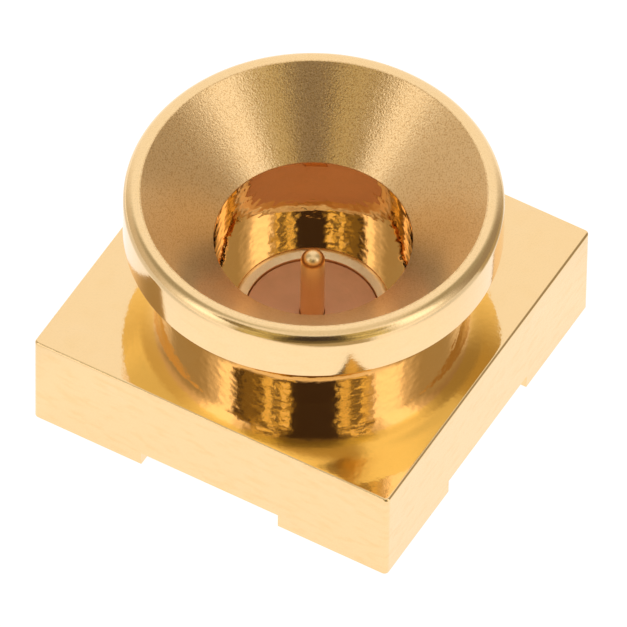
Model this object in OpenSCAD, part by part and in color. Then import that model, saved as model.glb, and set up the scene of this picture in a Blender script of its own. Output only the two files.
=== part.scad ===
// Surface mount coaxial jack: a square base on four corner feet, a round
// barrel and a flared head with a countersunk socket. A small pin stands
// in the socket, held by a plastic bead that is pressed in from below.
// Millimetres, +Z up, origin at the centre of the feet's plane.

/* [Base] */
// Side of the square base
base_w = 6.35; // [5.6:0.05:9]
// Height of the base's top above the board
base_h = 1.8; // [1.5:0.05:2.4]
// Radius of the base's four upright corners
corner_r = 0.08; // [0.04:0.01:0.3]
// Width of each of the two crossing channels under the base
relief_w = 2.46; // [1.8:0.02:3]
// Depth of the channels, which is the height of the feet
relief_d = 0.27; // [0.15:0.01:0.4]

/* [Head] */
// Height of the head's top above the board
jack_h = 4.06; // [3.9:0.02:5]
// Diameter of the barrel between base and head
barrel_d = 4.85; // [4.3:0.05:5.3]
// Diameter of the flared head
head_d = 5.92; // [5.84:0.02:6.8]
// Height of the head's upright outer band and its rounded edge
band_h = 0.89; // [0.4:0.01:1]
// Slope of the head's underside from level, in degrees
underside_angle = 42; // [20:1:50]
// Radius of the hollow that runs from the barrel into the underside
hollow_r = 0.8; // [0.2:0.05:1.1]
// Radius of the head's outer top edge
head_edge_r = 0.2; // [0.05:0.01:0.24]

/* [Socket] */
// Diameter of the countersink at the head's top
flare_d = 5.38; // [4.6:0.02:5.4]
// Slope of the countersink from the axis, in degrees
flare_angle = 46; // [41:1:55]
// Diameter of the land at the countersink's foot, which guides and latches
socket_d = 3.1; // [2.9:0.02:3.2]
// Height of that land
land_h = 0.1; // [0.05:0.01:0.6]
// Diameter of the wider bore below the land
groove_d = 3.26; // [3.22:0.02:3.6]
// Height of the ledge that the mating half stops on
ledge_z = 1.26; // [1.12:0.01:1.45]
// Outer diameter of the dished rim on the ledge, round the bead
rim_d = 2.48; // [2.34:0.02:2.8]
// Slope of that rim from level, in degrees
rim_angle = 12; // [4:1:20]

/* [Bead] */
// Diameter of the bead where it shows in the socket
bead_d = 2.1; // [1.8:0.02:2.3]
// Diameter of the bead's wider lower part
bead_seat_d = 2.5; // [2.4:0.02:2.6]
// Height of the step in the base that the bead seats against
bead_seat_z = 0.84; // [0.8:0.01:0.88]
// Depth of the bead's face below the ledge
bead_recess = 0.06; // [0.02:0.01:0.1]

/* [Contact] */
// Diameter of the pin in the socket
pin_d = 0.38; // [0.3:0.01:0.5]
// Depth of the pin's ball nose below the head's top
pin_recess = 1.45; // [1.2:0.01:1.7]
// Diameter of the contact's shank, from its soldered end up into the bead
shank_d = 0.7; // [0.6:0.01:0.8]
// Depth of the shank's shoulder, where the pin begins, below the bead's face
shoulder_depth = 0.1; // [0.05:0.01:0.15]
// Diameter of the collar that locks the contact in the bead
collar_d = 0.92; // [0.9:0.01:1.2]
// Height of the collar's underside above the board
collar_z = 0.45; // [0.4:0.01:0.5]
// Thickness of the collar
collar_h = 0.3; // [0.2:0.01:0.35]
// Gap all round between pieces that are pressed together
press_gap = 0.01; // [0:0.005:0.02]

/* [Hidden] */
$fn = 96;
// how far a cut runs past the face that it opens
over = 0.5;

barrel_r = barrel_d / 2;
head_r = head_d / 2;
flare_r = flare_d / 2;
socket_r = socket_d / 2;
groove_r = groove_d / 2;
bead_r = bead_d / 2;
rim_r = rim_d / 2;
bead_seat_r = bead_seat_d / 2;
pin_r = pin_d / 2;

band_z = jack_h - band_h;
underside_z = band_z - (head_r - barrel_r) * tan(underside_angle);
hollow_reach = hollow_r * tan(45 - underside_angle / 2);
hollow_z = underside_z - hollow_reach;
flare_z = jack_h - (flare_r - socket_r) / tan(flare_angle);
land_z = flare_z - land_h;
bead_top_z = ledge_z - bead_recess;
collar_top_z = collar_z + collar_h;
shoulder_z = bead_top_z - shoulder_depth;
pin_top_z = jack_h - pin_recess;

// square with rounded corners, centred
module rounded_square(side, r) {
    square([side, side - 2 * r], center = true);
    square([side - 2 * r, side], center = true);
    for (x = [-1, 1], y = [-1, 1])
        translate([x * (side / 2 - r), y * (side / 2 - r)])
            circle(r);
}

// half section of the barrel and head, with a hollow between them and a
// round outer top edge
module head_section() {
    difference() {
        polygon([
            [0, base_h / 2],
            [barrel_r, base_h / 2],
            [barrel_r, hollow_z],
            [barrel_r + hollow_reach * cos(underside_angle),
             underside_z + hollow_reach * sin(underside_angle)],
            [head_r, band_z],
            [head_r, jack_h - head_edge_r],
            [head_r - head_edge_r, jack_h - head_edge_r],
            [head_r - head_edge_r, jack_h],
            [0, jack_h]
        ]);
        translate([barrel_r + hollow_r, hollow_z])
            circle(hollow_r);
    }
    translate([head_r - head_edge_r, jack_h - head_edge_r])
        circle(head_edge_r);
}

// half section of everything that is hollow on the axis: bead seat, dished
// rim, ledge, bore, land and countersink
module socket_section() {
    polygon([
        [0, -over],
        [bead_seat_r, -over],
        [bead_seat_r, bead_seat_z],
        [bead_r, bead_seat_z],
        [bead_r, ledge_z - (rim_r - bead_r) * tan(rim_angle)],
        [rim_r, ledge_z],
        [groove_r, ledge_z],
        [groove_r, land_z - groove_r + socket_r],
        [socket_r, land_z],
        [socket_r, flare_z],
        [flare_r, jack_h],
        [flare_r, jack_h + over],
        [0, jack_h + over]
    ]);
}

// the contact's shank, collar and pin, up to a height; grow widens them
// into the hole through the bead
module contact_steps(grow, bottom, top) {
    translate([0, 0, bottom])
        cylinder(h = shoulder_z + grow - bottom, d = shank_d + 2 * grow);
    translate([0, 0, collar_z - grow])
        cylinder(h = collar_h + 2 * grow, d = collar_d + 2 * grow);
    translate([0, 0, shoulder_z + grow])
        cylinder(h = top - shoulder_z - grow, d = pin_d + 2 * grow);
}

// one piece of plated brass, turned and milled
module body() {
    color([0.93, 0.71, 0.36])
    difference() {
        union() {
            linear_extrude(base_h)
                rounded_square(base_w, corner_r);
            rotate_extrude()
                head_section();
        }
        rotate_extrude()
            socket_section();
        for (a = [0, 90])
            rotate(a)
                translate([-base_w / 2 - over, -relief_w / 2, -over])
                    cube([base_w + 2 * over, relief_w, relief_d + over]);
    }
}

// tan plastic bead, seated against the step inside the base
module insulator() {
    color([0.78, 0.58, 0.40])
    difference() {
        union() {
            translate([0, 0, relief_d])
                cylinder(h = bead_seat_z - relief_d,
                         r = bead_seat_r - press_gap);
            translate([0, 0, bead_seat_z])
                cylinder(h = bead_top_z - bead_seat_z,
                         r = bead_r - press_gap);
        }
        contact_steps(press_gap, relief_d - over, bead_top_z + over);
    }
}

// plated contact: shank with its soldered end and collar, and the pin with
// its ball nose
module centre_contact() {
    color([0.95, 0.76, 0.42])
    union() {
        contact_steps(0, 0, pin_top_z - pin_r);
        translate([0, 0, pin_top_z - pin_r])
            sphere(pin_r);
    }
}

body();
insulator();
centre_contact();
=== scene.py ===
import math

import bpy
from bpy.props import FloatProperty, FloatVectorProperty, IntProperty, PointerProperty
from mathutils import Matrix, Vector


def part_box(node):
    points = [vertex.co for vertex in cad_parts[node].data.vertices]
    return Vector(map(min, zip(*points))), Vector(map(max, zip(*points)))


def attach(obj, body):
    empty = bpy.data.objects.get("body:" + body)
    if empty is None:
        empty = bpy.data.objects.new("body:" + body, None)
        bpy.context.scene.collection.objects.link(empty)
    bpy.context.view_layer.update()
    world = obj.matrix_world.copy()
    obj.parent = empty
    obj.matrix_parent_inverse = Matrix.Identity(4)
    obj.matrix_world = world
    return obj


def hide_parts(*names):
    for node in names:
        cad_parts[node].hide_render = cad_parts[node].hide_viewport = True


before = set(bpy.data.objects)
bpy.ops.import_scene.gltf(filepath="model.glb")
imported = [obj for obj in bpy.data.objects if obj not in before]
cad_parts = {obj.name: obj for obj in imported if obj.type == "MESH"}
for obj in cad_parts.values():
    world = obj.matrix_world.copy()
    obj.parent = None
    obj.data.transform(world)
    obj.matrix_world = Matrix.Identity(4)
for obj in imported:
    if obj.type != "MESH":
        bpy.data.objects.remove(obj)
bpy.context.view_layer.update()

bl_info = {
    "name": "Surface mount coaxial jack",
    "version": (1, 0, 0),
    "blender": (4, 5, 0),
    "location": "3D View > Sidebar > Coax jack",
    "description": "Builds a gold plated coaxial jack with its bead, its pin and a small studio",
    "category": "Add Mesh",
}

BODY_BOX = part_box("body")
# the photograph's width and height in pixels
PHOTO_SIZE = 627
# steps of the arcs of small and of large fillets, and where large ones begin
SMALL_STEP = math.radians(9)
LARGE_STEP = math.radians(3)
LARGE_FILLET = 0.0004


def length(name, description, default):
    """A size in metres that a user can change."""
    return FloatProperty(name=name, description=description, default=default, min=0.0,
                         precision=5, unit="LENGTH")


def angle(name, description, degrees):
    """An angle that a user can change."""
    return FloatProperty(name=name, description=description, default=math.radians(degrees),
                         subtype="ANGLE")


def colour(name, description, default):
    """A linear colour that a user can change."""
    return FloatVectorProperty(name=name, description=description, default=default,
                               subtype="COLOR", size=3, min=0.0, max=1.0)


def share(name, description, default):
    """A number from 0 to 1 that a user can change."""
    return FloatProperty(name=name, description=description, default=default, min=0.0, max=1.0,
                         subtype="FACTOR")


# ---------------------------------------------------------------- settings

class JackBodySizes(bpy.types.PropertyGroup):
    """Sizes of the plated body"""
    base_width: length("Base width", "Side of the square base", BODY_BOX[1][0] - BODY_BOX[0][0])
    base_height: length("Base height", "Height of the base's top", 0.0018)
    corner_radius: length("Corner radius", "Radius of the base's upright corners", 0.00008)
    channel_width: length("Channel width", "Width of the crossing channels underneath", 0.00246)
    channel_depth: length("Channel depth", "Depth of the channels", 0.00027)
    jack_height: length("Jack height", "Height of the head's top", BODY_BOX[1][2])
    barrel_diameter: length("Barrel diameter", "Barrel between base and head", 0.00485)
    head_diameter: length("Head diameter", "Flared head, outside", 0.00592)
    band_height: length("Band height", "Head's upright outer band", 0.00089)
    underside_slope: angle("Underside slope", "Slope of the head's underside from level", 42.0)
    hollow: length("Hollow", "Radius of the hollow from the barrel into the underside", 0.0008)
    head_edge: length("Head edge", "Radius of the head's outer top edge", 0.0002)
    flare_diameter: length("Countersink diameter", "Countersink at the head's top", 0.00538)
    flare_slope: angle("Countersink slope", "Slope of the countersink from the axis", 46.0)
    land_diameter: length("Land diameter", "Narrow land at the countersink's foot", 0.0031)
    land_height: length("Land height", "Height of that land", 0.0001)
    bore_diameter: length("Bore diameter", "Wider bore below the land", 0.00326)
    ledge_height: length("Ledge height", "Height of the ledge round the bead", 0.00126)
    rim_diameter: length("Rim diameter", "Dished rim on the ledge, round the bead", 0.00248)
    rim_slope: angle("Rim slope", "Slope of that rim from level", 12.0)
    rim_crest: length("Rim crest", "Rise of the rim's rounded crest over the ledge", 0.000022)
    mouth_diameter: length("Bead mouth", "Hole that the bead shows in", 0.0021)
    seat_diameter: length("Bead seat diameter", "Wider hole below the bead's step", 0.0025)
    seat_height: length("Bead seat height", "Height of the bead's step", 0.00084)
    fine_edge: length("Fine edge", "Radius of the small machined edge breaks", 0.000018)
    base_edge: length("Base edge", "Radius of the base's top edges", 0.00004)
    segments: IntProperty(name="Segments", description="Points around the axis, four to a side",
                          default=384, min=32, max=720, step=4)


class JackBeadSizes(bpy.types.PropertyGroup):
    """Sizes of the plastic bead"""
    recess: length("Recess", "Depth of the bead's face below the ledge", 0.00006)
    gap: length("Press gap", "Gap between pieces that are pressed together", 0.00001)
    edge: length("Edge", "Radius of the bead's edges", 0.00002)
    segments: IntProperty(name="Segments", description="Points around the axis",
                          default=192, min=32, max=720, step=4)


class JackContactSizes(bpy.types.PropertyGroup):
    """Sizes of the centre contact"""
    pin_diameter: length("Pin diameter", "Pin in the socket", 0.00038)
    pin_recess: length("Pin recess", "Depth of the pin's nose below the head's top", 0.00145)
    shank_diameter: length("Shank diameter", "Shank and soldered end", 0.0007)
    shoulder_depth: length("Shoulder depth", "Shank's shoulder below the bead's face", 0.0001)
    collar_diameter: length("Collar diameter", "Collar that locks in the bead", 0.00092)
    collar_height: length("Collar height", "Height of the collar's underside", 0.00045)
    collar_thickness: length("Collar thickness", "Thickness of the collar", 0.0003)
    segments: IntProperty(name="Segments", description="Points around the axis",
                          default=96, min=32, max=720, step=4)


class JackFinishes(bpy.types.PropertyGroup):
    """Colours and surface detail"""
    gold: colour("Gold", "Colour of the plating", (0.97, 0.69, 0.365))
    # the bead's colour is tan plastic with painted light: part of its orange stands for the light
    # that the gold walls cast on it
    plastic: colour("Plastic", "Colour of the bead", (0.93, 0.47, 0.25))
    mirror_roughness: share("Mirror roughness", "Head's band and all the rest", 0.1)
    bore_roughness: share("Bore roughness", "Barrel and bore", 0.05)
    crown_roughness: share("Crown roughness", "Head's top and round edge", 0.17)
    cone_roughness: share("Countersink roughness", "Countersink, narrow part of its shine", 0.19)
    cone_haze: share("Countersink haze", "Countersink, wide part of its shine", 0.62)
    cone_share: share("Haze share", "How much of the countersink's shine is wide", 0.45)
    deck_roughness: share("Base top roughness", "Flat top of the base", 0.07)
    under_roughness: share("Underside roughness", "Sloped underside of the head", 0.2)
    side_roughness: share("Side roughness", "Milled sides of the base", 0.17)
    rim_roughness: share("Rim roughness", "Rim about the bead", 0.38)
    pin_roughness: share("Pin roughness", "Centre contact", 0.3)
    ripple_size: length("Ripple size", "Width of the plating's soft ripples", 0.00009)
    ripple_depth: length("Ripple depth", "Depth of the plating's soft ripples", 0.000008)
    turning_pitch: length("Turning pitch", "Spacing of the fine turning marks", 0.00007)
    grain_size: length("Grain size", "Width of the countersink's fine grain", 0.00003)
    swell_size: length("Swell size", "Width of the barrel's and the bore's soft swells", 0.00012)
    milling_size: length("Milling size", "Width of the milling marks on the base's sides", 0.00012)
    # painted shade: the dark specks stand for the shade in the pits between the grains
    pit_shade_size: length("Speck size", "Width of the dark specks between the grains", 0.000025)
    blotch_size: length("Blotch size", "Width of the wide, faint changes of tint", 0.0006)
    bead_turning: length("Bead turning", "Spacing of the turning marks on the bead", 0.00005)
    bead_cloud: length("Bead cloud", "Width of the bead's faint clouds", 0.0003)
    bead_depth: length("Bead relief", "Depth of the bead's turning marks", 0.000003)


class JackStudio(bpy.types.PropertyGroup):
    """Camera, floor and light tent"""
    azimuth: angle("Azimuth", "Camera's turn from the front", 29.269)
    elevation: angle("Elevation", "Camera's height angle", 50.079)
    roll: angle("Roll", "Camera's roll", 0.929)
    distance: length("Distance", "Camera's distance from its aim", 0.3)
    aim_right: FloatProperty(name="Aim right", description="Aim, to the right of the origin",
                             default=0.0000346, precision=6, unit="LENGTH")
    aim_up: FloatProperty(name="Aim up", description="Aim, above the origin in the picture",
                          default=0.00073, precision=6, unit="LENGTH")
    pixel_focal: FloatProperty(name="Focal length in pixels", default=19171.0, min=1.0,
                               description="Focal length of the photograph's frame, in pixels")
    tent: colour("Tent", "Colour of the light tent", (1.0, 0.985, 0.96))
    tent_side: colour("Tent sides", "Grey sides of the tent", (0.40, 0.37, 0.28))
    tent_left: colour("Tent low left", "Low part of the tent's left side", (0.64, 0.58, 0.49))
    tent_right: colour("Tent low right", "Low part of the tent's right side", (0.34, 0.29, 0.22))
    tent_top: colour("Tent top", "Top of the tent", (0.80, 0.76, 0.68))
    opening: angle("Opening", "Half width of the tent's opening to the camera's side", 53.5)
    opening_turn: angle("Opening turn", "Turn of the opening's middle to the camera's left", 6.5)
    lamp_light: colour("Warm light", "Lit part of the room behind the camera", (0.95, 0.82, 0.34))
    room: colour("Room", "Dim part of that room", (0.44, 0.34, 0.11))
    shade: colour("Camera shade", "Dark camera in the opening", (0.045, 0.033, 0.028))
    shade_width: angle("Camera shade width", "Half width of the dark camera", 17.3)
    table: length("Table radius", "Round white table that the jack stands on", 0.03)
    floor_glow: share("Floor glow", "Plain white in what the camera sees of the floor", 0.97)
    # painted shade: the floor's sides are darker in reflections, where the floor is lit less
    floor_side_shade: colour("Floor sides", "Tint of the floor's sides in reflections", (0.69, 0.69, 0.69))
    floor_front: colour("Floor front", "Tint of the floor's front in reflections", (0.36, 0.28, 0.14))


# ---------------------------------------------------------------- node trees

class Value:
    """A node's output that takes part in plain arithmetic"""

    def __init__(self, graph, socket):
        self.graph = graph
        self.socket = socket

    def maths(self, operation, *values):
        return self.graph.node("ShaderNodeMath", {"operation": operation}, dict(enumerate(values)))

    def other(self, name):
        """Another output of the same node."""
        return Value(self.graph, self.socket.node.outputs[name])

    def __add__(self, other):
        return self.maths("ADD", self, other)

    def __radd__(self, other):
        return self.maths("ADD", other, self)

    def __sub__(self, other):
        return self.maths("SUBTRACT", self, other)

    def __rsub__(self, other):
        return self.maths("SUBTRACT", other, self)

    def __mul__(self, other):
        return self.maths("MULTIPLY", self, other)

    def __rmul__(self, other):
        return self.maths("MULTIPLY", other, self)

    def __truediv__(self, other):
        return self.maths("DIVIDE", self, other)

    def __rtruediv__(self, other):
        return self.maths("DIVIDE", other, self)

    def __neg__(self):
        return self.maths("MULTIPLY", self, -1.0)

    def __abs__(self):
        return self.maths("ABSOLUTE", self)

    def __gt__(self, other):
        return self.maths("GREATER_THAN", self, other)

    def __lt__(self, other):
        return self.maths("LESS_THAN", self, other)

    def floor(self):
        return self.maths("FLOOR", self)

    def sin(self):
        return self.maths("SINE", self)

    def cos(self):
        return self.maths("COSINE", self)

    def sqrt(self):
        return self.maths("SQRT", self)

    def least(self, other):
        return self.maths("MINIMUM", self, other)

    def most(self, other):
        return self.maths("MAXIMUM", self, other)

    def clamp(self):
        return self.most(0.0).least(1.0)

    def step(self, low, high):
        """Smooth rise from 0 at low to 1 at high."""
        return self.graph.node("ShaderNodeMapRange", {"interpolation_type": "SMOOTHSTEP"},
                               {"Value": self, "From Min": low, "From Max": high})


class Graph:
    """A node tree that is written as expressions"""

    def __init__(self, tree):
        self.tree = tree
        tree.nodes.clear()

    def node(self, kind, settings=None, sockets=None, out=0):
        """Any node: its settings first, then the values or links of its sockets."""
        node = self.tree.nodes.new(kind)
        for key, value in (settings or {}).items():
            setattr(node, key, value)
        for key, value in (sockets or {}).items():
            socket = node.inputs[key]
            for part in value if isinstance(value, list) else [value]:
                if isinstance(part, Value):
                    self.tree.links.new(part.socket, socket)
                elif socket.type == "RGBA" and len(part) == 3:
                    socket.default_value = (*part, 1.0)
                else:
                    socket.default_value = part
        return Value(self, node.outputs[out]) if node.outputs else None

    def dot(self, a, b):
        return self.node("ShaderNodeVectorMath", {"operation": "DOT_PRODUCT"}, {0: a, 1: b},
                         out="Value")

    def vector(self, x, y, z):
        return self.node("ShaderNodeCombineXYZ", None, {0: x, 1: y, 2: z})

    def blend(self, factor, a, b):
        """Colour a where the factor is 0, colour b where it is 1."""
        return self.node("ShaderNodeMix", {"data_type": "RGBA"}, {0: factor, 6: a, 7: b}, out=2)

    def noise(self, vector, scale, detail=2.0, roughness=0.5):
        return self.node("ShaderNodeTexNoise", {"noise_dimensions": "3D"},
                         {"Vector": vector, "Scale": scale, "Detail": detail,
                          "Roughness": roughness})


# ---------------------------------------------------------------- geometry

def turned_tree():
    """Sweeps a half section round the axis, with rings that may follow the square base."""
    tree = bpy.data.node_groups.new("Turned form", "GeometryNodeTree")
    tree.is_modifier = True
    face = tree.interface
    for name, kind in (("Geometry", "NodeSocketGeometry"), ("Segments", "NodeSocketInt"),
                       ("Half Width", "NodeSocketFloat"), ("Corner Radius", "NodeSocketFloat"),
                       ("Straight Share", "NodeSocketFloat"), ("Channels", "NodeSocketBool"),
                       ("Channel Width", "NodeSocketFloat"), ("Channel Depth", "NodeSocketFloat"),
                       ("Sharp Angle", "NodeSocketFloat"), ("Material", "NodeSocketMaterial")):
        face.new_socket(name=name, in_out="INPUT", socket_type=kind)
    face.new_socket(name="Geometry", in_out="OUTPUT", socket_type="NodeSocketGeometry")

    g = Graph(tree)
    given = g.node("NodeGroupInput", out="Geometry")
    segments = given.other("Segments")
    points = g.node("GeometryNodeAttributeDomainSize", {"component": "MESH"}, {0: given},
                    out="Point Count")
    columns = segments + 1
    grid = g.node("GeometryNodeMeshGrid", None,
                  {"Size X": 1.0, "Size Y": 1.0, "Vertices X": points, "Vertices Y": columns})
    index = g.node("GeometryNodeInputIndex")
    ring = ((index + 0.5) / columns).floor()
    column = index - ring * columns

    # the section's own point and mark for this ring
    place = g.node("GeometryNodeSampleIndex", {"data_type": "FLOAT_VECTOR", "domain": "POINT"},
                   {"Geometry": given, "Value": g.node("GeometryNodeInputPosition"),
                    "Index": ring})
    mark = g.node("GeometryNodeInputNamedAttribute", {"data_type": "FLOAT"},
                  {"Name": "square"})
    square = g.node("GeometryNodeSampleIndex", {"data_type": "FLOAT", "domain": "POINT"},
                    {"Geometry": given, "Value": mark, "Index": ring})
    reach = g.node("ShaderNodeSeparateXYZ", None, {0: place})
    height = reach.other("Z")

    # place along one quarter of the ring
    quarters = column / (segments / 4.0)
    quarter = (quarters + 0.0001).floor()
    along = (quarters - quarter).clamp()
    turn = quarter * (math.pi / 2)
    theta = turn + along * (math.pi / 2)
    round_x = reach * theta.cos()
    round_y = reach * theta.sin()

    flat = given.other("Straight Share")
    centre = given.other("Half Width") - given.other("Corner Radius")
    bend = (reach - centre).most(0.0)
    side = reach - bend
    phi = ((along - flat) / (1.0 - 2.0 * flat)).clamp() * (math.pi / 2)
    local_x = side * ((1.0 - along) / flat).clamp() + bend * phi.cos()
    local_y = side * (along / flat).clamp() + bend * phi.sin()
    square_x = local_x * turn.cos() - local_y * turn.sin()
    square_y = local_x * turn.sin() + local_y * turn.cos()

    target = g.vector(round_x + square * (square_x - round_x),
                      round_y + square * (square_y - round_y), height)
    swept = g.node("GeometryNodeSetPosition", None, {"Geometry": grid, "Position": target})
    closed = g.node("GeometryNodeMergeByDistance", None, {"Geometry": swept, "Distance": 1e-7})

    # two crossing channels are cut from the underside
    reach_out = given.other("Half Width") * 2.0 + 0.001
    wide = given.other("Channel Width")
    deep = given.other("Channel Depth") * 2.0
    cuts = [g.node("GeometryNodeMeshCube", None, {"Size": g.vector(*size)})
            for size in ((reach_out, wide, deep), (wide, reach_out, deep))]
    cut = g.node("GeometryNodeMeshBoolean", {"operation": "DIFFERENCE", "solver": "EXACT"},
                 {"Mesh 1": closed, "Mesh 2": cuts})
    shape = g.node("GeometryNodeSwitch", {"input_type": "GEOMETRY"},
                   {"Switch": given.other("Channels"), "False": closed, "True": cut})

    smooth = g.node("GeometryNodeSetShadeSmooth", {"domain": "FACE"},
                    {"Geometry": shape, "Shade Smooth": True})
    bends = g.node("GeometryNodeInputMeshEdgeAngle", out="Unsigned Angle")
    creased = g.node("GeometryNodeSetShadeSmooth", {"domain": "EDGE"},
                     {"Geometry": smooth, "Selection": bends > given.other("Sharp Angle"),
                      "Shade Smooth": False})
    real = g.node("GeometryNodeRealizeInstances", None, {"Geometry": creased})
    done = g.node("GeometryNodeSetMaterial", None,
                  {"Geometry": real, "Material": given.other("Material")})
    g.node("NodeGroupOutput", None, {"Geometry": done})
    return tree


def rounded(corners, hold=0.00002):
    """Points of a half section. Each corner is (r, z, fillet radius, square ring or not).

    A fillet becomes an arc, with one more point on the straight just past each of its ends, so
    that a smooth normal doesn't bend over the straight.
    """
    points = []
    for i, (r, z, fillet, square) in enumerate(corners):
        here = Vector((r, z))
        before = Vector(corners[i - 1][:2]) - here
        after = Vector(corners[(i + 1) % len(corners)][:2]) - here
        if fillet <= 0.0:
            points.append((r, z, square))
            continue
        a, b = before.normalized(), after.normalized()
        half = a.angle(b) / 2
        back = fillet / math.tan(half)
        centre = here + (a + b).normalized() * (fillet / math.sin(half))
        first, last = here + a * back - centre, here + b * back - centre
        sweep = first.angle(last)
        sense = 1.0 if first.cross(last) > 0 else -1.0
        steps = max(3, math.ceil(sweep / (SMALL_STEP if fillet < LARGE_FILLET else LARGE_STEP)))
        if before.length > back + 2 * hold:
            points.append((*(here + a * (back + hold)), square))
        for k in range(steps + 1):
            spin = Matrix.Rotation(sense * sweep * k / steps, 2)
            points.append((*(centre + spin @ first), square))
        if after.length > back + 2 * hold:
            points.append((*(here + b * (back + hold)), square))
    return points


def turned_piece(name, points, material, segments, closed, body=None):
    """A plain mesh swept from a half section by the geometry tree."""
    tree = bpy.data.node_groups.get("Turned form") or turned_tree()
    if closed:
        points = points + points[:1]
    mesh = bpy.data.meshes.new(name)
    mesh.from_pydata([(r, 0.0, z) for r, z, _ in points],
                     [(i, i + 1) for i in range(len(points) - 1)], [])
    marks = mesh.attributes.new("square", "FLOAT", "POINT")
    marks.data.foreach_set("value", [float(mark) for _, _, mark in points])
    piece = bpy.data.objects.new(name, mesh)
    bpy.context.scene.collection.objects.link(piece)

    modifier = piece.modifiers.new("Turned form", "NODES")
    modifier.node_group = tree
    sizes = {"Segments": segments, "Straight Share": 0.42, "Sharp Angle": math.radians(29),
             "Material": material, "Channels": body is not None,
             "Half Width": body.base_width / 2 if body else 1.0,
             "Corner Radius": body.corner_radius if body else 0.0,
             "Channel Width": body.channel_width if body else 0.001,
             "Channel Depth": body.channel_depth if body else 0.001}
    for item in tree.interface.items_tree:
        if item.item_type == "SOCKET" and item.in_out == "INPUT" and item.name in sizes:
            modifier[item.identifier] = sizes[item.name]
    piece.update_tag()
    bpy.context.view_layer.update()

    depsgraph = bpy.context.evaluated_depsgraph_get()
    result = bpy.data.meshes.new_from_object(piece.evaluated_get(depsgraph))
    piece.modifiers.clear()
    piece.data = result
    bpy.data.meshes.remove(mesh)
    if len(result.polygons) < segments:
        raise RuntimeError(f"{name} came out empty")
    result.name = name
    return piece


def body_section(s):
    """Corners of the body's half section, up through the socket and down outside."""
    half, top = s.base_width / 2, s.jack_height
    land, bore, mouth = s.land_diameter / 2, s.bore_diameter / 2, s.mouth_diameter / 2
    flare, head, barrel = s.flare_diameter / 2, s.head_diameter / 2, s.barrel_diameter / 2
    seat, rim, fine = s.seat_diameter / 2, s.rim_diameter / 2, s.fine_edge
    flare_foot = top - (flare - land) / math.tan(s.flare_slope)
    land_foot = flare_foot - s.land_height
    band_foot = top - s.band_height
    underside = band_foot - (head - barrel) * math.tan(s.underside_slope)
    rim_drop = (rim - mouth) * math.tan(s.rim_slope) / 2
    crest = 0.75 * rim + 0.25 * mouth
    # the base's top turns from round rings to square ones between these two
    last_round, first_square = barrel + 0.0003, half - 0.0002
    return [
        (seat, 0.0, 0.0, 0),
        (seat, s.seat_height, 0.0, 0),
        (mouth, s.seat_height, 0.0, 0),
        (mouth, s.ledge_height - rim_drop, fine / 2, 0),
        (crest, s.ledge_height + s.rim_crest, 0.0001, 0),
        (rim, s.ledge_height, fine / 2, 0),
        (bore, s.ledge_height, 0.0, 0),
        (bore, land_foot - bore + land, 0.0, 0),
        (land, land_foot, 0.0, 0),
        (land, flare_foot, fine, 0),
        (flare, top, fine, 0),
        (head, top, s.head_edge, 0),
        (head, band_foot, fine, 0),
        (barrel, underside, s.hollow, 0),
        (barrel, s.base_height, 0.0, 0),
        (last_round, s.base_height, 0.0, 0),
        (first_square, s.base_height, 0.0, 1),
        (half, s.base_height, s.base_edge, 1),
        (half, 0.0, fine, 1),
    ]


def bead_section(s, b, c):
    """Corners of the bead's half section, up through its stepped hole and down outside."""
    face = s.ledge_height - b.recess
    shoulder = face - c.shoulder_depth
    pin, shank = c.pin_diameter / 2 + b.gap, c.shank_diameter / 2 + b.gap
    collar = c.collar_diameter / 2 + b.gap
    collar_foot = c.collar_height - b.gap
    collar_top = c.collar_height + c.collar_thickness + b.gap
    return [
        (shank, s.channel_depth, 0.0, 0),
        (shank, collar_foot, 0.0, 0),
        (collar, collar_foot, 0.0, 0),
        (collar, collar_top, 0.0, 0),
        (shank, collar_top, 0.0, 0),
        (shank, shoulder + b.gap, 0.0, 0),
        (pin, shoulder + b.gap, 0.0, 0),
        (pin, face, b.edge / 2, 0),
        (s.mouth_diameter / 2 - b.gap, face, b.edge, 0),
        (s.mouth_diameter / 2 - b.gap, s.seat_height, 0.0, 0),
        (s.seat_diameter / 2 - b.gap, s.seat_height, b.edge, 0),
        (s.seat_diameter / 2 - b.gap, s.channel_depth, b.edge, 0),
    ]


def contact_section(s, b, c):
    """Points of the contact's half section, from the nose down to the soldered end."""
    shoulder = s.ledge_height - b.recess - c.shoulder_depth
    pin, shank, collar = c.pin_diameter / 2, c.shank_diameter / 2, c.collar_diameter / 2
    nose = s.jack_height - c.pin_recess - pin
    steps = 16
    angles = [math.pi / 2 * k / steps for k in range(steps + 1)]
    ball = [(pin * math.sin(a), nose + pin * math.cos(a), 0) for a in angles]
    collar_top = c.collar_height + c.collar_thickness
    # a point just below the ball keeps its smooth normals off the pin's straight part
    neck = nose - 0.00002
    return ball + [
        (pin, neck, 0),
        (pin, shoulder, 0),
        (shank, shoulder, 0),
        (shank, collar_top, 0),
        (collar, collar_top, 0),
        (collar, c.collar_height, 0),
        (shank, c.collar_height, 0),
        (shank, 0.0, 0),
        (0.0, 0.0, 0),
    ]


# ---------------------------------------------------------------- materials

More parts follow.
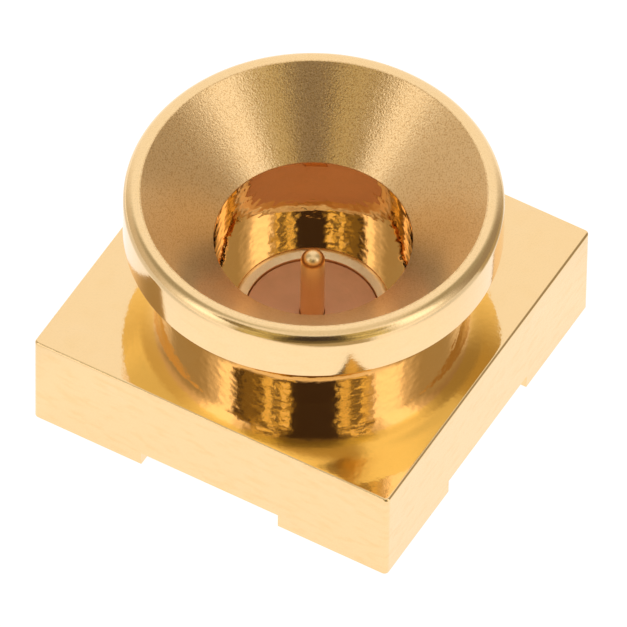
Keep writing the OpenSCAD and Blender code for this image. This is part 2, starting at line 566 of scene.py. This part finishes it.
def gold_material(name, s, f, body=True):
    """Gold plating over turned and milled brass."""
    material = bpy.data.materials.new(name)
    material.use_nodes = True
    g = Graph(material.node_tree)
    spot = g.node("ShaderNodeTexCoord", out="Object")
    axis = g.node("ShaderNodeSeparateXYZ", None, {0: spot})
    x, y, z = axis, axis.other("Y"), axis.other("Z")
    radius = (x * x + y * y).sqrt()

    # masks of the faces that are finished apart, with borders a few hundredths of a mm wide
    if body:
        hair = 0.00001
        flare = s.flare_diameter / 2 - s.jack_height * math.tan(s.flare_slope)
        off_cone = abs(radius - z * math.tan(s.flare_slope) - flare)
        cone = (1.0 - off_cone.step(hair, 3 * hair)) * (z > s.base_height)
        half = s.base_width / 2
        sides = (abs(x).most(abs(y))).step(half - 5 * hair, half - 2 * hair)
        bore = s.bore_diameter / 2
        foot = s.jack_height - (s.flare_diameter - s.land_diameter) / 2 / math.tan(s.flare_slope)
        inside = (1.0 - radius.step(bore + hair, bore + 3 * hair)) * (z < foot)
        barrel = s.barrel_diameter / 2
        band_foot = s.jack_height - s.band_height
        # the barrel's turning marks end in the hollow
        slope = math.tan(s.underside_slope)
        mark = band_foot - (s.head_diameter / 2 - barrel) * slope - 8 * hair
        turned = inside.most(z.step(mark + 4 * hair, mark - 4 * hair)
                             * z.step(s.base_height + hair, s.base_height + 10 * hair))
        under = z.step(mark - 4 * hair, mark + 4 * hair) * (z < band_foot) * (radius > barrel)
        deck = 1.0 - abs(z - s.base_height).step(hair, 2 * hair)
        edge = s.rim_diameter / 2
        rim = (1.0 - radius.step(edge - hair, edge + hair)) * (z > s.seat_height)
        crown = (z > s.jack_height - s.head_edge) * (1.0 - cone)
    else:
        cone = sides = rim = turned = crown = under = deck = 0.0 * z

    # soft ripples that the plating leaves, swells and grain, and marks that run round the axis
    # because they are drawn out level; the reliefs are even about 0, so a mask leaves no step
    ripple = g.noise(spot, 1.0 / f.ripple_size, 2.0, 0.55) - 0.5
    grain = g.noise(spot, 1.0 / f.grain_size, 1.0, 0.5) - 0.5
    pit_shade = g.noise(spot, 1.0 / f.pit_shade_size, 1.0, 0.5)
    turning = g.noise(g.vector(x * 0.25, y * 0.25, z), 1.0 / f.turning_pitch, 2.0, 0.5) - 0.5
    swell = g.noise(spot, 1.0 / f.swell_size, 0.0, 0.5) - 0.5
    blotch = g.noise(spot, 1.0 / f.blotch_size, 3.0, 0.6)
    milled = g.noise(g.vector(x * 0.35, y * 0.35, z), 1.0 / f.milling_size, 3.0, 0.55) - 0.5

    height = (ripple * 0.12 + turning * (0.01 + 0.06 * turned) + swell * turned * 0.42
              + grain * (0.01 + 0.42 * cone + 0.5 * rim + 0.05 * crown) + milled * sides * 0.3)
    bump = g.node("ShaderNodeBump", None,
                  {"Strength": 1.0, "Distance": f.ripple_depth, "Height": height})
    rough = ((f.mirror_roughness if body else f.pin_roughness)
             + cone * (f.cone_roughness - f.mirror_roughness)
             + turned * (1.0 - rim) * (f.bore_roughness - f.mirror_roughness)
             + crown * (f.crown_roughness - f.mirror_roughness)
             + sides * (f.side_roughness - f.mirror_roughness)
             + rim * (f.rim_roughness - f.mirror_roughness)
             + deck * (f.deck_roughness - f.mirror_roughness)
             + under * (f.under_roughness - f.mirror_roughness)
             + (blotch - 0.5) * 0.05).clamp()

    # tints of the gold: paler at random and, as a painted highlight, on the rim; deeper, yellower
    # under the head, and dark specks of painted shade in the pits between the grains
    pale = tuple(0.4 + 0.6 * c for c in f.gold)
    deep, yellow, dark = (tuple(c * part for c, part in zip(f.gold, parts)) for parts in
                          ((0.97, 0.93, 0.84), (1.02, 1.07, 0.7), (0.74, 0.66, 0.55)))
    tint = g.blend((blotch - 0.5).step(0.0, 0.4) * 0.12, tuple(f.gold), pale)
    tint = g.blend(milled.step(-0.05, 0.25) * (0.3 + 0.5 * sides), tint, deep)
    # painted highlight: the rim is paler to stand for the bright light from above that it catches
    tint = g.blend(rim * 0.3, tint, pale)
    tint = g.blend(under, tint, yellow)
    # painted shade: dark specks, most of all on the countersink, stand for the shade in the pits
    # between its grains
    tint = g.blend(pit_shade.step(0.45, 0.7) * (0.1 + 0.75 * cone + 0.08 * crown), tint, dark)
    shader = g.node("ShaderNodeBsdfPrincipled", None,
                    {"Base Color": tint, "Metallic": 1.0, "Roughness": rough, "Normal": bump})
    if body:
        haze = g.node("ShaderNodeBsdfPrincipled", None,
                      {"Base Color": tint, "Metallic": 1.0, "Roughness": f.cone_haze,
                       "Normal": bump})
        shader = g.node("ShaderNodeMixShader", None, {0: cone * f.cone_share, 1: shader, 2: haze})
    g.node("ShaderNodeOutputMaterial", None, {"Surface": shader})
    return material


def plastic_material(f):
    """Tan engineering plastic, its orange tint partly painted light from the gold walls round it,
    with faint marks of its turned face.
    """
    material = bpy.data.materials.new("Tan bead with painted gold light")
    material.use_nodes = True
    g = Graph(material.node_tree)
    spot = g.node("ShaderNodeTexCoord", out="Object")
    axis = g.node("ShaderNodeSeparateXYZ", None, {0: spot})
    x, y, z = axis, axis.other("Y"), axis.other("Z")
    radius = (x * x + y * y).sqrt()
    turning = g.noise(g.vector(radius, z, 0.0), 1.0 / f.bead_turning, 2.0, 0.6)
    cloud = g.noise(spot, 1.0 / f.bead_cloud, 3.0, 0.6)
    bump = g.node("ShaderNodeBump", None, {"Strength": 1.0, "Distance": f.bead_depth,
                                           "Height": turning + cloud * 0.6})
    # its colour is partly painted light, the orange light from the gold walls; faint clouds dim it at
    # random
    dim = tuple(c * 0.86 for c in f.plastic)
    tint = g.blend(cloud.step(0.35, 0.75) * 0.5, tuple(f.plastic), dim)
    rough = (0.42 + cloud * 0.2).clamp()
    shader = g.node("ShaderNodeBsdfPrincipled", None,
                    {"Base Color": tint, "Roughness": rough, "Normal": bump})
    g.node("ShaderNodeOutputMaterial", None, {"Surface": shader})
    return material


def floor_material(t):
    """White table that keeps a faint shadow of the jack."""
    material = bpy.data.materials.new("White table")
    material.use_nodes = True
    g = Graph(material.node_tree)
    path = g.node("ShaderNodeLightPath", out="Is Camera Ray")
    seen = path.most(path.other("Is Glossy Ray")).most(path.other("Is Transmission Ray"))
    paper = g.node("ShaderNodeBsdfDiffuse", None, {"Color": (0.8, 0.8, 0.8)})

    # reflections find it darker to the left and right, with painted shade where the floor is lit
    # less, and dim with warm light in front, where its border lies slantwise and nearer on the right
    spot = g.node("ShaderNodeTexCoord", out="Object")
    aside = g.dot(spot, (math.cos(t.azimuth), math.sin(t.azimuth), 0.0))
    ahead = g.dot(spot, (math.sin(t.azimuth), -math.cos(t.azimuth), 0.0))
    side_shade = abs(aside).step(0.0045, 0.008) * (1.0 - abs(ahead).step(0.004, 0.01)) * (1.0 - path)
    clear = (aside * aside + ahead * ahead).sqrt().step(0.0062, 0.0072)
    front = (ahead + aside * 1.5).step(0.0055, 0.011) * clear * (1.0 - path)
    front = front * (1.0 - (abs(aside) / ahead).step(0.48, 0.6))
    sheen = g.blend(side_shade, (1.0, 1.0, 1.0), tuple(t.floor_side_shade))
    sheen = g.blend(front, sheen, tuple(t.floor_front))
    glow = g.node("ShaderNodeEmission", None, {"Color": sheen, "Strength": t.floor_glow})
    sheet = g.node("ShaderNodeBsdfDiffuse", None, {"Color": (0.16, 0.16, 0.16)})
    bright = g.node("ShaderNodeAddShader", None, {0: glow, 1: sheet})
    shader = g.node("ShaderNodeMixShader", None, {0: seen, 1: paper, 2: bright})
    g.node("ShaderNodeOutputMaterial", None, {"Surface": shader})
    return material


def camera_axes(t):
    """The studio camera's right, up and backward directions."""
    back = Vector((math.sin(t.azimuth) * math.cos(t.elevation),
                   -math.cos(t.azimuth) * math.cos(t.elevation), math.sin(t.elevation)))
    level = Vector((math.cos(t.azimuth), math.sin(t.azimuth), 0.0))
    rise = back.cross(level)
    right = math.cos(t.roll) * level + math.sin(t.roll) * rise
    up = math.cos(t.roll) * rise - math.sin(t.roll) * level
    return right, up, back


def tent_world(t):
    """A white light tent that is open to the room behind the camera.

    Turns are degrees from the camera's side, to its right, and rises are sines of height angles.
    """
    world = bpy.data.worlds.new("Light tent")
    world.use_nodes = True
    g = Graph(world.node_tree)
    level = Vector((math.cos(t.azimuth), math.sin(t.azimuth), 0.0))
    ahead = Vector((math.sin(t.azimuth), -math.cos(t.azimuth), 0.0))
    way = g.node("ShaderNodeTexCoord", out="Generated")
    rise = g.dot(way, (0.0, 0.0, 1.0))
    aside = g.dot(way, level)
    turn = aside.maths("ARCTAN2", aside, g.dot(way, ahead)) * math.degrees(1.0)
    high = rise.step(0.5, 0.7)
    wide = abs(turn + math.degrees(t.opening_turn) * high)

    # grey sides, not alike low down, and a duller top
    grey = abs(turn).step(62.0, 92.0) * (1.0 - abs(turn).step(118.0, 150.0))
    low = 1.0 - rise.step(0.42, 0.7)
    side = g.blend(low * (turn < 0.0), tuple(t.tent_side), tuple(t.tent_left))
    side = g.blend(low * (turn > 0.0), side, tuple(t.tent_right))
    tent = g.blend(grey, tuple(t.tent), side)
    tent = g.blend(rise.step(0.87, 0.97) * (1.0 - 0.6 * (-aside).step(0.0, 0.2)), tent,
                   tuple(t.tent_top))

    # the room in the opening: lit near the camera and high up, dim past it, full of small
    # things, with one dark post and the dark camera
    beside = (1.0 - rise.step(0.5, 0.65)) * abs(turn).step(17.0, 22.0)
    lit_turn = 1.0 - abs(turn - 4.0).step(33.0, 44.0)
    lit_rise = (0.35 + 0.65 * rise.step(0.5, 0.72)).most(beside)
    things = 0.3 + g.noise(way, 11.0, 1.0, 0.5).step(0.4, 0.54)
    lit = (things * (lit_turn * lit_rise)).clamp()
    room = g.blend(lit, tuple(t.room), tuple(t.lamp_light))
    lamps = g.noise(way, 27.0, 0.0, 0.5).step(0.62, 0.7)
    room = g.blend(lamps * lit, room, tuple(t.tent))
    specks = g.noise(way, 13.0, 1.0, 0.5).step(0.48, 0.58)
    room = g.blend(specks * 0.75, room, tuple(t.shade))
    post = (1.0 - abs(turn + 51.0).step(6.0, 10.0)) * high
    room = g.blend(post * 0.6, room, tuple(t.shade))
    room = g.blend((1.0 - high) * (1.0 - beside) * 0.45, room, tuple(t.shade))
    off_camera = (abs(turn - 4.2 * rise) - math.degrees(t.shade_width)) / 5.0 + 0.5
    dark = 1.0 - off_camera.clamp()
    room = g.blend(dark * (0.5 + 0.5 * rise.step(0.15, 0.4)), room, tuple(t.shade))
    past = (wide - math.degrees(t.opening) + 13.0 * (1.0 - high)) / 8.0 + 0.5
    opening = (1.0 - past.step(0.0, 1.0)) * (1.0 - rise.step(0.82, 0.91))
    seen = g.blend(opening, tent, room)

    # the tent shines more beside the opening
    strip = ((1.0 - abs(abs(turn) - 60.0).step(7.0, 16.0)) * rise.step(0.1, 0.35)
             * (1.0 - rise.step(0.72, 0.9)))
    seen = g.node("ShaderNodeVectorMath", {"operation": "SCALE"},
                  {0: seen, "Scale": 1.0 + strip * (1.0 - opening) * 0.5})
    camera = g.node("ShaderNodeLightPath", out="Is Camera Ray")
    shown = g.blend(camera, seen, (1.0, 1.0, 1.0))
    shader = g.node("ShaderNodeBackground", None, {"Color": shown, "Strength": 1.0})
    g.node("ShaderNodeOutputWorld", None, {"Surface": shader})
    return world


# ---------------------------------------------------------------- operators

class JACK_OT_body(bpy.types.Operator):
    """Make the plated body from its half section"""
    bl_idname = "jack.body"
    bl_label = "Plated body"

    def execute(self, context):
        s, f = context.scene.jack_body, context.scene.jack_finishes
        piece = turned_piece("jack_body", rounded(body_section(s)),
                             gold_material("Gold plated body", s, f), s.segments, True, s)
        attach(piece, "root")
        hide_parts("body")
        return {"FINISHED"}


class JACK_OT_bead(bpy.types.Operator):
    """Make the plastic bead from its half section"""
    bl_idname = "jack.bead"
    bl_label = "Plastic bead"

    def execute(self, context):
        s, b, c = context.scene.jack_body, context.scene.jack_bead, context.scene.jack_contact
        piece = turned_piece("jack_bead", rounded(bead_section(s, b, c), 0.00001),
                             plastic_material(context.scene.jack_finishes), b.segments, True)
        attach(piece, "root")
        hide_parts("insulator")
        return {"FINISHED"}


class JACK_OT_contact(bpy.types.Operator):
    """Make the centre contact from its half section"""
    bl_idname = "jack.contact"
    bl_label = "Centre contact"

    def execute(self, context):
        s, b, c = context.scene.jack_body, context.scene.jack_bead, context.scene.jack_contact
        gold = gold_material("Gold plated contact", s, context.scene.jack_finishes, body=False)
        piece = turned_piece("jack_contact", contact_section(s, b, c), gold, c.segments, False)
        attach(piece, "root")
        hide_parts("centre_contact")
        return {"FINISHED"}


class JACK_OT_studio(bpy.types.Operator):
    """Make the camera, the white table and the light tent"""
    bl_idname = "jack.studio"
    bl_label = "Studio"

    def execute(self, context):
        t = context.scene.jack_studio
        right, up, back = camera_axes(t)
        lens = bpy.data.cameras.new("Studio camera")
        lens.sensor_fit = "HORIZONTAL"
        lens.sensor_width = 36.0
        lens.lens = t.pixel_focal / PHOTO_SIZE * lens.sensor_width
        lens.clip_start = 0.01
        lens.clip_end = 10.0
        camera = bpy.data.objects.new("Studio camera", lens)
        aim = right * t.aim_right + up * t.aim_up
        turn = Matrix((right, up, back)).transposed().to_4x4()
        camera.matrix_world = Matrix.Translation(aim + back * t.distance) @ turn
        context.scene.collection.objects.link(camera)
        context.scene.camera = camera

        mesh = bpy.data.meshes.new("table")
        rim = [math.tau * k / 96 for k in range(96)]
        mesh.from_pydata([(t.table * math.cos(a), t.table * math.sin(a), -1e-6) for a in rim],
                         [], [range(96)])
        mesh.materials.append(floor_material(t))
        table = bpy.data.objects.new("table", mesh)
        context.scene.collection.objects.link(table)

        context.scene.world = tent_world(t)
        context.scene.view_settings.view_transform = "Standard"
        return {"FINISHED"}


class JACK_PT_panel(bpy.types.Panel):
    """Lists the jack's pieces and its studio"""
    bl_label = "Coax jack"
    bl_idname = "JACK_PT_panel"
    bl_space_type = "VIEW_3D"
    bl_region_type = "UI"
    bl_category = "Coax jack"

    def draw(self, context):
        for operator, name in ((JACK_OT_body, "jack_body"), (JACK_OT_bead, "jack_bead"),
                               (JACK_OT_contact, "jack_contact"), (None, "jack_finishes"),
                               (JACK_OT_studio, "jack_studio")):
            box = self.layout.box()
            if operator:
                box.operator(operator.bl_idname)
            group = getattr(context.scene, name)
            for field in group.__annotations__:
                box.prop(group, field)


SETTINGS = {"jack_body": JackBodySizes, "jack_bead": JackBeadSizes,
            "jack_contact": JackContactSizes, "jack_finishes": JackFinishes,
            "jack_studio": JackStudio}
OPERATORS = (JACK_OT_body, JACK_OT_bead, JACK_OT_contact, JACK_OT_studio)


def register():
    for kind in (*SETTINGS.values(), *OPERATORS, JACK_PT_panel):
        bpy.utils.register_class(kind)
    for name, kind in SETTINGS.items():
        setattr(bpy.types.Scene, name, PointerProperty(type=kind))


def unregister():
    for name in SETTINGS:
        delattr(bpy.types.Scene, name)
    for kind in reversed((*SETTINGS.values(), *OPERATORS, JACK_PT_panel)):
        bpy.utils.unregister_class(kind)


def main():
    """Build the jack and its studio."""
    register()
    bpy.ops.jack.body()
    bpy.ops.jack.bead()
    bpy.ops.jack.contact()
    bpy.ops.jack.studio()


if __name__ == "__main__":
    main()
